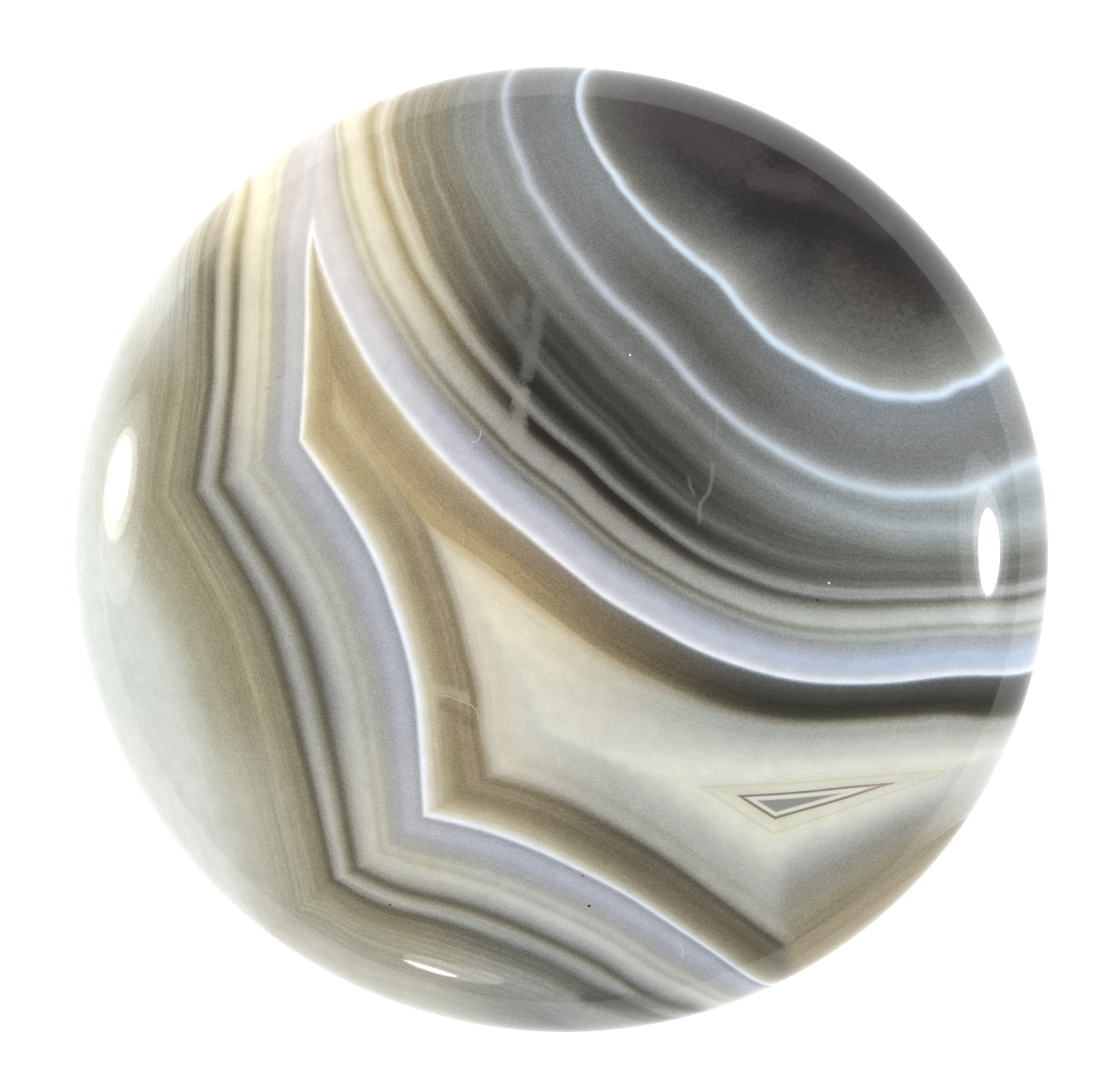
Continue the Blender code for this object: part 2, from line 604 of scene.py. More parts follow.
FAR_BANDS = [
    (13.9, (112, 115, 111)), (14.08, (117, 121, 118)), (14.22, (134, 139, 140)), (14.36, (167, 174, 179)),
    (14.5, (184, 192, 201)), (14.62, (184, 193, 202)), (14.74, (172, 179, 185)), (14.88, (155, 159, 162)),
    (15.02, (138, 141, 142)), (15.2, (123, 124, 122)), (15.45, (116, 117, 114)), (15.9, (103, 104, 101)),
    (16.3, (94, 96, 91)), (16.7, (91, 92, 87)), (17.4, (99, 100, 95)), (18.3, (114, 115, 113)),
    (18.8, (113, 115, 114)), (19.15, (117, 121, 122)), (19.36, (132, 139, 144)), (19.48, (168, 181, 190)),
    (19.6, (201, 217, 229)), (19.75, (211, 227, 240)), (19.9, (200, 212, 222)), (20.02, (180, 186, 190)),
    (20.2, (165, 166, 163)), (20.5, (148, 149, 146)), (21.0, (126, 126, 122)), (21.6, (109, 108, 105)),
    (22.4, (93, 91, 90)), (23.6, (72, 70, 70)), (25.0, (56, 54, 55)), (32.0, (52, 48, 50)),
]
# The same bands where they near the top edge and the right edge. Near the right edge they also hold a painted
# highlight glow
TOP_HAZE = [
    (0.0, (250, 246, 238)), (0.15, (238, 233, 230)), (0.3, (225, 218, 215)), (0.6, (219, 215, 211)),
    (1.2, (225, 219, 213)), (1.65, (221, 214, 206)), (2.1, (216, 208, 199)), (2.5, (208, 200, 186)),
    (2.72, (202, 193, 175)), (3.15, (224, 217, 196)), (3.6, (210, 201, 172)), (3.85, (220, 212, 186)),
    (4.15, (234, 226, 203)), (4.8, (230, 221, 195)), (5.1, (220, 212, 182)), (5.4, (206, 193, 156)),
    (5.7, (182, 166, 128)), (5.85, (188, 172, 136)), (6.05, (208, 196, 166)), (6.3, (218, 210, 186)),
    (6.5, (213, 207, 180)), (6.75, (197, 185, 155)), (6.95, (172, 159, 128)), (7.15, (164, 152, 122)),
    (7.35, (177, 167, 142)), (7.55, (161, 151, 128)), (7.75, (153, 146, 121)), (8.0, (160, 152, 131)),
    (8.25, (152, 147, 122)), (8.5, (164, 157, 134)), (8.8, (149, 141, 119)), (9.2, (140, 132, 113)),
]
TOP_FAR_HAZE = [
    (9.2, (140, 132, 113)), (9.5, (141, 134, 117)), (9.8, (155, 147, 129)), (10.1, (146, 140, 123)),
    (10.6, (140, 137, 120)), (11.0, (142, 141, 127)), (11.3, (149, 149, 138)), (12.0, (143, 145, 136)),
    (12.6, (144, 146, 141)), (13.1, (148, 151, 148)), (13.7, (137, 140, 136)), (14.05, (144, 149, 145)),
    (14.3, (155, 162, 162)), (14.45, (174, 180, 184)), (14.6, (189, 196, 203)), (14.8, (182, 186, 193)),
    (15.0, (161, 163, 166)), (15.2, (143, 145, 147)), (15.8, (128, 130, 127)), (17.5, (130, 133, 131)),
    (18.6, (138, 142, 145)), (19.15, (133, 138, 140)), (19.36, (145, 151, 156)), (19.48, (188, 198, 206)),
    (19.62, (217, 229, 241)), (19.8, (211, 219, 230)), (19.97, (184, 189, 193)), (20.2, (151, 152, 147)),
    (20.6, (124, 124, 117)), (21.1, (104, 103, 97)), (22.5, (92, 90, 87)), (26.0, (68, 66, 67)),
]
# Partly painted highlight: lighter and bluer towards the right edge, standing for the right highlight's glow
RIGHT_BANDS_AND_GLOW = [
    (0.0, (221, 232, 243)), (0.3, (208, 216, 227)), (0.5, (195, 200, 209)), (0.9, (181, 193, 212)),
    (1.6, (176, 190, 211)), (2.1, (166, 176, 188)), (2.5, (161, 167, 174)), (2.9, (158, 163, 166)),
    (3.1, (171, 177, 177)), (3.35, (174, 180, 178)), (3.65, (160, 163, 156)), (3.8, (158, 162, 156)),
    (4.1, (183, 189, 184)), (4.4, (188, 193, 189)), (4.8, (183, 186, 183)), (5.2, (163, 165, 158)),
    (5.5, (130, 131, 122)), (5.75, (104, 105, 97)), (5.95, (118, 120, 117)), (6.2, (158, 162, 162)),
    (6.6, (160, 163, 158)), (7.0, (128, 130, 124)), (7.4, (103, 104, 99)), (7.9, (101, 103, 99)),
    (8.5, (112, 115, 110)), (9.5, (107, 109, 103)), (10.4, (112, 115, 109)), (11.0, (124, 128, 124)),
    (11.8, (140, 146, 143)), (12.4, (151, 158, 159)),
]
# Partly painted highlight glow, as above
RIGHT_FAR_BANDS_AND_GLOW = [
    (12.4, (151, 158, 159)), (13.0, (164, 174, 177)), (13.4, (150, 159, 161)), (13.75, (140, 148, 149)),
    (14.0, (148, 156, 158)), (14.2, (158, 169, 173)), (14.35, (178, 191, 198)), (14.5, (197, 211, 221)),
    (14.65, (192, 206, 215)), (14.8, (181, 192, 199)), (14.95, (168, 174, 178)), (15.15, (151, 154, 156)),
    (15.5, (131, 135, 135)), (16.1, (122, 126, 124)), (16.8, (124, 126, 125)), (17.6, (128, 131, 132)),
    (18.3, (131, 136, 140)), (19.0, (128, 137, 143)), (19.3, (140, 149, 157)), (19.45, (172, 185, 198)),
    (19.62, (207, 223, 239)), (19.8, (211, 226, 241)), (19.95, (195, 207, 213)), (20.1, (178, 184, 185)),
    (20.3, (167, 169, 165)), (20.7, (150, 152, 147)), (21.1, (138, 139, 134)), (22.2, (117, 117, 112)),
    (23.2, (104, 103, 98)), (24.5, (92, 90, 85)), (26.5, (78, 74, 70)), (30.0, (62, 59, 58)),
]
SIDE_BANDS = [
    (0.0, (234, 237, 243)), (0.12, (190, 193, 200)), (0.2, (160, 162, 168)), (0.35, (160, 162, 168)),
    (0.6, (170, 172, 179)), (0.95, (173, 175, 184)), (1.25, (168, 169, 176)), (1.5, (162, 162, 166)),
    (2.0, (161, 161, 157)), (2.25, (161, 162, 154)), (2.6, (174, 175, 165)), (2.8, (171, 171, 160)),
    (3.0, (167, 167, 154)), (3.2, (175, 175, 164)), (3.4, (183, 185, 176)), (3.65, (180, 181, 176)),
    (4.0, (165, 166, 162)), (4.35, (145, 145, 142)), (4.6, (122, 120, 116)), (4.8, (101, 99, 90)),
    (4.95, (97, 94, 81)), (5.1, (109, 105, 90)), (5.4, (144, 143, 130)), (5.65, (161, 162, 155)),
    (5.85, (156, 157, 153)), (6.05, (141, 140, 134)), (6.4, (100, 96, 82)), (6.6, (106, 101, 82)),
    (6.85, (121, 115, 95)), (7.1, (135, 128, 107)),
]
SIDE_FAR_BANDS = [
    (7.1, (135, 128, 107)), (7.4, (141, 134, 112)), (7.6, (138, 132, 108)), (7.9, (146, 140, 116)),
    (8.2, (146, 139, 115)), (8.45, (154, 148, 122)), (8.7, (158, 152, 125)), (8.95, (152, 146, 119)),
    (9.3, (146, 139, 113)), (10.2, (148, 142, 118)), (10.8, (153, 148, 124)), (11.3, (162, 158, 133)),
    (12.0, (162, 160, 138)), (12.7, (172, 173, 155)), (13.4, (184, 186, 174)), (14.2, (193, 197, 188)),
    (15.5, (198, 202, 196)),
]
LEFT_BANDS = [
    (0.0, (246, 245, 234)), (0.12, (222, 222, 216)), (0.25, (193, 190, 187)), (0.7, (196, 194, 191)),
    (1.25, (196, 194, 192)), (1.5, (179, 177, 173)), (2.0, (181, 178, 169)), (2.3, (184, 178, 162)),
    (2.45, (193, 186, 165)), (2.6, (208, 203, 179)), (2.85, (210, 204, 182)), (3.05, (202, 196, 170)),
    (3.2, (202, 195, 166)), (3.4, (213, 207, 184)), (3.8, (213, 208, 186)), (4.2, (209, 204, 180)),
    (4.6, (184, 178, 160)), (4.8, (140, 131, 113)), (5.0, (114, 106, 88)), (5.2, (134, 125, 100)),
    (5.45, (181, 175, 148)), (5.75, (197, 193, 174)), (6.0, (186, 183, 169)), (6.15, (164, 159, 146)),
    (6.35, (113, 108, 92)), (6.6, (112, 107, 88)), (6.9, (143, 138, 117)), (7.1, (137, 131, 110)),
]
# Partly painted highlight: far out these bands are lighter, standing for the left highlight's glow
LEFT_FAR_BANDS_AND_GLOW = [
    (7.1, (137, 131, 110)), (7.25, (128, 123, 103)), (7.5, (144, 138, 117)), (7.85, (168, 163, 145)),
    (8.3, (174, 172, 156)), (8.75, (181, 181, 168)), (9.1, (187, 188, 179)), (9.8, (198, 200, 190)),
    (10.5, (206, 207, 198)), (11.3, (212, 212, 205)), (14.0, (212, 213, 206)),
]
# The left wall's bands above the tip of the brown band
TIP_BANDS = [
    (0.0, (255, 252, 246)), (0.15, (240, 236, 235)), (0.3, (222, 214, 212)), (0.6, (216, 210, 206)),
    (1.3, (223, 217, 213)), (1.6, (217, 210, 206)), (1.9, (213, 205, 198)), (2.15, (215, 206, 197)),
    (2.4, (211, 202, 188)), (2.55, (221, 212, 192)), (2.75, (231, 223, 201)), (3.0, (226, 218, 193)),
    (3.2, (230, 223, 198)), (3.45, (242, 234, 208)), (3.75, (243, 235, 208)), (4.2, (238, 228, 203)),
    (4.4, (231, 220, 192)), (4.65, (210, 197, 162)), (4.85, (195, 180, 143)), (5.05, (202, 190, 151)),
    (5.25, (216, 208, 169)), (5.5, (225, 218, 188)), (5.85, (223, 215, 190)), (6.1, (205, 195, 168)),
    (6.4, (189, 173, 148)), (6.7, (204, 189, 158)), (7.0, (188, 178, 151)), (7.2, (182, 174, 143)),
    (7.6, (186, 179, 150)), (8.5, (200, 195, 172)), (10.0, (212, 208, 192)), (14.0, (216, 213, 200)),
]
# The lowest wall's bands are greyer, and darker far out, where shade along the bottom rim is painted in
LOWEST_BANDS = [
    (0.0, (226, 233, 243)), (0.12, (190, 193, 202)), (0.2, (160, 163, 171)), (0.35, (158, 161, 169)),
    (0.6, (171, 176, 186)), (0.95, (176, 180, 192)), (1.25, (172, 175, 185)), (1.5, (166, 168, 175)),
    (2.0, (164, 166, 165)), (2.25, (167, 169, 165)), (2.6, (185, 187, 180)), (2.85, (179, 181, 174)),
    (3.05, (175, 177, 169)), (3.4, (196, 199, 192)), (3.7, (190, 193, 188)), (4.0, (173, 176, 172)),
    (4.35, (153, 156, 154)), (4.6, (130, 131, 128)), (4.8, (108, 107, 98)), (4.95, (104, 102, 90)),
    (5.1, (120, 118, 105)), (5.4, (157, 158, 146)), (5.7, (162, 164, 160)), (5.95, (150, 152, 149)),
    (6.2, (122, 124, 121)), (6.5, (101, 102, 93)), (6.75, (106, 107, 98)), (7.1, (118, 119, 110)),
]
# Partly painted shade: the darker stretch far out stands for the bottom rim's shade
LOWEST_FAR_BANDS_AND_SHADE = [
    (7.1, (118, 119, 110)), (7.4, (121, 121, 113)), (7.8, (146, 146, 138)), (8.4, (150, 153, 146)),
    (8.9, (150, 153, 147)), (9.4, (148, 151, 149)), (9.8, (140, 143, 140)), (10.3, (130, 131, 128)),
    (10.8, (122, 124, 123)), (11.3, (123, 125, 125)), (12.0, (131, 134, 134)), (14.0, (148, 150, 148)),
]
# Inside the wall line: the brown band
GOLD_BROWN = [
    (-3.0, (190, 176, 142)), (-2.6, (188, 172, 134)), (-2.3, (194, 178, 140)), (-2.0, (180, 164, 126)),
    (-1.5, (172, 155, 115)), (-1.1, (176, 159, 120)), (-0.75, (185, 170, 132)), (-0.45, (196, 183, 148)),
    (-0.28, (212, 202, 172)), (-0.12, (233, 228, 210)), (0.0, (242, 240, 232)),
]
SIDE_BROWN = [
    (-3.0, (162, 150, 127)), (-2.85, (145, 132, 107)), (-2.7, (140, 126, 100)), (-2.5, (150, 137, 111)),
    (-2.15, (151, 138, 113)), (-1.95, (140, 128, 101)), (-1.6, (147, 134, 104)), (-1.35, (156, 144, 114)),
    (-1.1, (170, 158, 129)), (-0.9, (180, 171, 143)), (-0.6, (194, 187, 162)), (-0.45, (205, 200, 181)),
    (-0.28, (217, 216, 206)), (-0.12, (231, 234, 237)), (0.0, (232, 236, 244)),
]
LOWEST_BROWN = [
    (-3.0, (100, 95, 82)), (-2.85, (92, 87, 73)), (-2.55, (106, 100, 84)), (-2.25, (108, 102, 86)),
    (-1.95, (102, 96, 79)), (-1.5, (113, 107, 88)), (-1.05, (128, 121, 101)), (-0.6, (154, 148, 127)),
    (-0.28, (183, 182, 166)), (-0.12, (206, 208, 202)), (0.0, (222, 228, 234)),
]
UPPER_BROWN = [
    (-3.0, (186, 166, 126)), (-2.85, (176, 156, 115)), (-2.4, (169, 150, 112)), (-1.9, (157, 139, 104)),
    (-1.5, (151, 133, 103)), (-0.9, (147, 131, 107)), (-0.28, (148, 139, 122)), (-0.15, (182, 175, 168)),
    (0.0, (232, 230, 230)),
]
DEEP_BROWN = [
    (-3.0, (130, 129, 117)), (-2.85, (108, 107, 94)), (-2.6, (76, 74, 62)), (-2.3, (60, 60, 51)),
    (-1.8, (54, 54, 48)), (-1.45, (62, 63, 58)), (-0.9, (74, 75, 72)), (-0.45, (88, 91, 89)),
    (-0.28, (101, 105, 109)), (-0.15, (140, 148, 158)), (0.0, (216, 228, 240)),
]
CORNER_BROWN = [
    (-3.0, (139, 130, 105)), (-2.6, (142, 131, 99)), (-2.2, (143, 130, 97)), (-1.8, (150, 137, 103)),
    (0.0, (160, 148, 114)),
]
# The pale middle
UPPER_PALE = [
    (-10.0, (206, 204, 184)), (-9.4, (204, 203, 180)), (-9.0, (213, 213, 196)), (-8.0, (219, 219, 205)),
    (-6.5, (218, 216, 200)), (-5.4, (223, 218, 198)), (-4.6, (226, 218, 197)), (-4.0, (219, 211, 187)),
    (-3.6, (216, 208, 182)), (-3.3, (207, 194, 164)), (-3.0, (190, 171, 132)),
]
UPPER_PALE_RIGHT = [
    (-10.0, (205, 203, 190)), (-9.4, (210, 210, 196)), (-8.9, (211, 212, 196)), (-8.0, (218, 219, 208)),
    (-7.1, (211, 212, 204)), (-6.4, (199, 201, 193)), (-5.7, (191, 192, 185)), (-5.0, (180, 182, 177)),
    (-4.4, (168, 170, 163)), (-3.7, (164, 166, 160)), (-3.4, (158, 158, 149)), (-3.15, (143, 142, 130)),
    (-3.0, (132, 130, 117)),
]
SIDE_PALE = [
    (-10.0, (206, 204, 182)), (-9.4, (214, 213, 194)), (-8.5, (217, 216, 200)), (-7.5, (208, 207, 196)),
    (-6.4, (212, 210, 196)), (-5.4, (218, 214, 195)), (-4.7, (212, 205, 186)), (-4.0, (210, 203, 184)),
    (-3.6, (203, 196, 179)), (-3.4, (192, 185, 168)), (-3.2, (177, 170, 153)), (-3.0, (161, 151, 129)),
]
LOWEST_PALE = [
    (-10.0, (203, 200, 178)), (-9.5, (213, 214, 196)), (-8.5, (217, 218, 204)), (-7.8, (208, 210, 199)),
    (-7.1, (194, 196, 188)), (-6.4, (182, 184, 176)), (-5.7, (174, 176, 169)), (-5.0, (170, 171, 163)),
    (-4.65, (161, 162, 153)), (-4.3, (167, 167, 158)), (-3.95, (169, 169, 160)), (-3.6, (160, 160, 151)),
    (-3.35, (143, 142, 133)), (-3.15, (118, 116, 106)), (-3.0, (96, 93, 81)),
]
CORNER_PALE = [
    (-10.0, (206, 204, 184)), (-9.5, (211, 213, 196)), (-8.7, (215, 216, 202)), (-8.1, (208, 208, 197)),
    (-7.5, (195, 194, 187)), (-6.9, (178, 178, 172)), (-6.3, (162, 163, 157)), (-5.8, (152, 152, 145)),
    (-5.3, (145, 143, 133)), (-4.8, (146, 143, 131)), (-4.2, (150, 145, 128)), (-3.6, (146, 139, 116)),
    (-3.0, (139, 131, 106)),
]

# Thin marks: the strokes they follow in the photograph, width in millimetres, colour and strength
MARKS = {
    "heal": (
        [[(433, 695), (447, 696), (461, 701), (473, 706), (478, 714), (479, 722)]],
        0.15, (204, 195, 164), 0.45,
    ),
    "rift": ([[(713, 458), (712, 480), (709, 492), (700, 504), (699, 528)]], 0.34, (150, 152, 149), 0.30),
    "rift_left": ([[(688, 472), (690, 486), (697, 500)]], 0.30, (150, 152, 149), 0.24),
    "rift_above": ([[(717, 414), (717, 440)]], 0.26, (150, 152, 149), 0.22),
    "scratch": ([[(481, 429), (480, 437), (476, 442), (470, 442)]], 0.10, (244, 244, 248), 0.42),
    "nick": (
        [[(275, 379), (284, 375)], [(263, 390), (271, 386)], [(236, 414), (242, 411)]],
        0.11, (112, 106, 94), 0.65,
    ),
    "curl": ([[(677, 940), (681, 945), (683, 952), (682, 960)]], 0.20, (204, 208, 220), 0.45),
    # a thin pale line across the lower left
    "pale_line": ([[(174, 708), (200, 762), (216, 830), (235, 890), (250, 915)]], 0.26, (206, 210, 204), 0.42),
}
# Soft patches: strokes, width in millimetres, colour, strength and the soft share of the half width
PATCHES = {
    "smear_round": ([[(518, 302), (518, 318)]], 1.5, (118, 119, 114), 0.55, 0.8),
    "smear_neck": ([[(520, 326), (523, 345), (526, 362)]], 1.2, (100, 100, 95), 0.5, 1.0),
    "smear_long": ([[(539, 301), (535, 332), (531, 356), (527, 374)]], 1.3, (112, 112, 107), 0.6, 0.8),
    "veil": ([[(521, 392), (519, 420), (517, 446)]], 1.5, (160, 156, 142), 0.5, 0.8),
    "heal_above": ([[(432, 688), (452, 692), (466, 698)]], 0.95, (192, 183, 155), 0.5, 1.0),
    "heal_below": ([[(443, 706), (458, 713), (472, 724)]], 1.0, (112, 101, 76), 0.42, 1.0),
    "core_left": ([[(650, 112), (700, 136), (738, 154)]], 5.0, (90, 84, 84), 0.5, 1.0),
    "core_dark": ([[(755, 214), (830, 224), (888, 252), (935, 300)]], 4.2, (40, 38, 39), 0.6, 1.0),
    "core_lens": ([[(760, 178), (804, 188)]], 2.4, (90, 83, 84), 0.5, 0.9),
    "core_shelf": ([[(818, 194), (850, 209), (885, 232)]], 1.6, (82, 77, 77), 0.4, 1.0),
    # Painted shade: a dark patch along the bottom rim, standing for the rim's shade
    "low_rim_shade": ([[(588, 1000), (620, 1003), (655, 1002), (690, 1010)]], 2.0, (80, 77, 71), 0.62, 0.9),
    "pale_arc": ([[(556, 745), (560, 767)]], 0.25, (226, 225, 212), 0.4, 1.0),
}
SPECKS = {
    "white_speck": ((630, 355), 0.08, (250, 250, 250)),
    "yellow_speck": ((829, 583), 0.10, (222, 222, 188)),
    "dark_speck": ((589, 906), 0.12, (40, 36, 40)),
    "small_dark_speck": ((583, 876), 0.09, (92, 84, 84)),
    "third_dark_speck": ((390, 905), 0.09, (60, 56, 56)),
    "pit": ((817, 600), 0.09, (24, 24, 26)),
}


def fine_streaks(nodes, level):
    """Hair-thin bands: 0 to 1, changing quickly across the bands and slowly along them."""
    slow = nodes.vector("MULTIPLY", nodes.attribute("layer", "Vector"), STREAK_LENGTHS)
    quick = nodes.add("ShaderNodeCombineXYZ")
    nodes.feed(quick.inputs["Z"], nodes.math("MULTIPLY", level, STREAKS_PER_MILLIMETRE))
    return nodes.noise(nodes.vector("ADD", slow, quick.outputs[0]), 1.0, 3.0, 0.65)


def upper_bands(nodes, upper, bearing):
    """The bands outside the upper wall, with a painted highlight glow towards the right edge."""
    soot, beyond = nodes.ramp(upper, SOOT_BANDS), nodes.ramp(upper, FAR_BANDS)
    far = nodes.mix(nodes.rise(upper, 13.85, 13.95), soot, beyond)
    bands = nodes.mix(nodes.rise(upper, 6.95, 7.05), nodes.ramp(upper, NEAR_BANDS), far)
    top = nodes.mix(
        nodes.rise(upper, 9.15, 9.25), nodes.ramp(upper, TOP_HAZE), nodes.ramp(upper, TOP_FAR_HAZE)
    )
    # the right edge's bands, partly painted highlight glow
    right = nodes.mix(
        nodes.rise(upper, 12.3, 12.5), nodes.ramp(upper, RIGHT_BANDS_AND_GLOW), nodes.ramp(upper, RIGHT_FAR_BANDS_AND_GLOW)
    )
    # the haze reaches less far from the top edge in the dark zone
    shift = nodes.math("MULTIPLY", nodes.rise(upper, 6.3, 7.6), nodes.rise(upper, 10.5, 13.0, 1.0, 0.35))
    top_place = nodes.math("ADD", bearing, nodes.math("MULTIPLY", shift, 0.16))
    top_share = nodes.rise(top_place, -0.88, -0.08, 1.0, 0.0)
    # how far the painted highlight glow of the right edge reaches
    right_glow_share = nodes.rise(bearing, 0.24, 1.08)
    top_share = nodes.math("MULTIPLY", top_share, nodes.rise(upper, 22.0, 27.0, 1.0, 0.0))
    right_glow_share = nodes.math("MULTIPLY", right_glow_share, nodes.rise(upper, 24.0, 33.0, 1.0, 0.3))
    return nodes.mix(right_glow_share, nodes.mix(top_share, bands, top), right)


def side_bands(nodes, side, place_x, place_y):
    """The bands outside the other walls. The left ones are creamier, the lowest ones greyer. Far out, the
    left ones hold a painted highlight glow and the lowest ones painted rim shade.
    """
    outer = nodes.rise(side, 7.05, 7.15)
    usual = nodes.mix(outer, nodes.ramp(side, SIDE_BANDS), nodes.ramp(side, SIDE_FAR_BANDS))
    # the left wall's bands, with painted highlight glow far out
    creamy_with_glow = nodes.mix(outer, nodes.ramp(side, LEFT_BANDS), nodes.ramp(side, LEFT_FAR_BANDS_AND_GLOW))
    # the lowest wall's bands, with painted rim shade far out
    grey_with_shade = nodes.mix(outer, nodes.ramp(side, LOWEST_BANDS), nodes.ramp(side, LOWEST_FAR_BANDS_AND_SHADE))
    upwards = nodes.mix(outer, nodes.rise(place_y, 0.0, 12.0), nodes.rise(place_y, 7.0, 15.0))
    downwards = nodes.rise(place_y, -10.0, -17.0, 0.0, 0.36)
    colour = nodes.mix(nodes.math("MAXIMUM", upwards, downwards), usual, creamy_with_glow)
    colour = nodes.mix(nodes.rise(place_x, -12.0, -3.0), colour, grey_with_shade)
    return nodes.mix(nodes.rise(place_y, 13.5, 19.5), colour, nodes.ramp(side, TIP_BANDS))


def brown_band(nodes, level, by_upper, by_corner, bearing, place_x, place_y):
    golden = nodes.ramp(level, GOLD_BROWN)
    tip = nodes.rise(place_y, -2.0, 6.5)
    low = nodes.rise(place_x, -7.0, 4.0)
    side = nodes.mix(low, nodes.ramp(level, SIDE_BROWN), nodes.ramp(level, LOWEST_BROWN))
    side = nodes.mix(tip, side, golden)
    gloom = nodes.rise(bearing, -0.02, 0.72)
    upper = nodes.mix(gloom, nodes.ramp(level, UPPER_BROWN), nodes.ramp(level, DEEP_BROWN))
    upper = nodes.mix(nodes.math("MULTIPLY", tip, 0.6), upper, golden)
    brown = nodes.mix(by_corner, nodes.mix(by_upper, side, upper), nodes.ramp(level, CORNER_BROWN))
    white = nodes.math("MULTIPLY", nodes.rise(place_y, 16.8, 18.6), nodes.rise(level, -0.42, -0.24))
    return nodes.mix(white, brown, shade(252, 250, 244))


def pale_middle(nodes, upper, side, corner, bearing, place_x, rightwards):
    towards_right = nodes.rise(bearing, 0.08, 0.68)
    top = nodes.mix(towards_right, nodes.ramp(upper, UPPER_PALE), nodes.ramp(upper, UPPER_PALE_RIGHT))
    low = nodes.rise(place_x, -7.0, 4.0)
    bottom = nodes.mix(low, nodes.ramp(side, SIDE_PALE), nodes.ramp(side, LOWEST_PALE))
    pale = nodes.mix(nodes.wins(upper, side, 0.8), bottom, top)
    others = nodes.math("MAXIMUM", upper, side)
    corner_pale = nodes.mix(rightwards, nodes.ramp(corner, CORNER_PALE), shade(200, 201, 196))
    return nodes.mix(nodes.wins(corner, others, 1.2), pale, corner_pale)


def banding(nodes):
    """The stone's colour."""
    upper, left = nodes.attribute("upper"), nodes.attribute("left")
    lower_left, lowest = nodes.attribute("lower_left"), nodes.attribute("lowest")
    corner, bearing = nodes.attribute("corner"), nodes.attribute("bearing")
    layer = nodes.attribute("layer", "Vector")
    place = nodes.add("ShaderNodeSeparateXYZ")
    nodes.feed(place.inputs[0], layer)
    place_x, place_y = place.outputs["X"], place.outputs["Y"]
    side = nodes.math("MAXIMUM", nodes.math("MAXIMUM", left, lower_left), lowest)
    level = nodes.math("MAXIMUM", nodes.math("MAXIMUM", upper, side), corner)
    by_upper = nodes.wins(upper, side, 0.1)
    by_corner = nodes.wins(corner, nodes.math("MAXIMUM", upper, side), 0.7)
    rightwards = nodes.rise(nodes.vector("DOT_PRODUCT", layer, (0.81, 0.59, 0.0)), 2.5, 10.0)

    below = side_bands(nodes, side, place_x, place_y)
    outside = nodes.mix(by_upper, below, upper_bands(nodes, upper, bearing))
    brown = brown_band(nodes, level, by_upper, by_corner, bearing, place_x, place_y)
    pale = pale_middle(nodes, upper, side, corner, bearing, place_x, rightwards)
    inside = nodes.mix(nodes.rise(level, BROWN_EDGE - 0.05, BROWN_EDGE + 0.05), pale, brown)
    colour = nodes.mix(nodes.rise(level, -0.03, 0.03), inside, outside)

    fading = nodes.rise(side, 8.6, 10.4, 1.0, 0.5)
    strength = nodes.math("MULTIPLY", nodes.ramp_value(level, STREAK_STRENGTH), fading)
    colour = nodes.brighten(colour, fine_streaks(nodes, level), strength)
    lightness = nodes.vector("DOT_PRODUCT", colour, (0.3, 0.6, 0.1))
    grain = nodes.rise(lightness, 0.02, 0.5, 0.56, 0.13)
    colour = nodes.brighten(colour, nodes.noise(layer, GRAIN_PER_MILLIMETRE, 1.0, 0.6), grain)
    colour = nodes.brighten(colour, nodes.noise(layer, MOTTLE_PER_MILLIMETRE, 2.0, 0.5), 0.10)
    heart = nodes.rise(upper, 21.0, 25.0, 0.0, 0.5)
    colour = nodes.brighten(colour, nodes.noise(layer, 2.6, 2.0, 0.65), heart)

    colour = triangle(nodes, level, place_x, colour)
    return marks(nodes, layer, colour)


def marks(nodes, layer, colour):
    ragged = nodes.math("MULTIPLY_ADD", nodes.noise(layer, 3.0, 1.0, 0.8), 0.9, -0.45)
    for name, (_, _, tint, strength, soft) in PATCHES.items():
        away = nodes.math("ADD", nodes.attribute(name), ragged)
        share = nodes.rise(away, 1.0 - soft, 1.0, strength, 0.0)
        colour = nodes.mix(share, colour, shade(*tint))
    for name, (_, width, tint, strength) in MARKS.items():
        mark = nodes.add("ShaderNodeSeparateXYZ")
        nodes.feed(mark.inputs[0], nodes.attribute(name, "Vector"))
        body = nodes.line(mark.outputs["X"], 0.0, width, 0.7)
        share = nodes.math("MULTIPLY", body, nodes.rise(mark.outputs["Y"], 0.0, width * 2, 0.0, strength))
        colour = nodes.mix(share, colour, shade(*tint))
    for pixel, radius, tint in SPECKS.values():
        place = on_stone([pixel])
        middle = (*layer_points(place)[0], place[0][2] * 1000)
        near = nodes.rise(nodes.vector("DISTANCE", layer, middle), radius * 0.5, radius, 1.0, 0.0)
        colour = nodes.mix(near, colour, shade(*tint))
    return colour


def triangle(nodes, level, place_x, colour):
    """The small three-sided eye in the pale middle: a dark line, a white one and a grey heart."""
    envelope = nodes.math("MULTIPLY", nodes.line(level, INNERMOST + 0.95, 0.4, 1.0), 0.35)
    colour = nodes.mix(envelope, colour, shade(186, 181, 148))
    outline = nodes.line(level, INNERMOST, 0.27, 0.7)
    point = nodes.rise(place_x, 14.5, 18.5)
    dark = nodes.mix(point, shade(112, 110, 98), shade(150, 143, 116))
    colour = nodes.mix(nodes.math("MULTIPLY", outline, 0.85), colour, dark)
    colour = nodes.mix(nodes.line(level, INNERMOST - 0.22, 0.2, 0.6), colour, shade(216, 215, 206))
    heart = nodes.rise(level, INNERMOST - 0.42, INNERMOST - 0.32, 1.0, 0.0)
    return nodes.mix(heart, colour, shade(146, 146, 140))


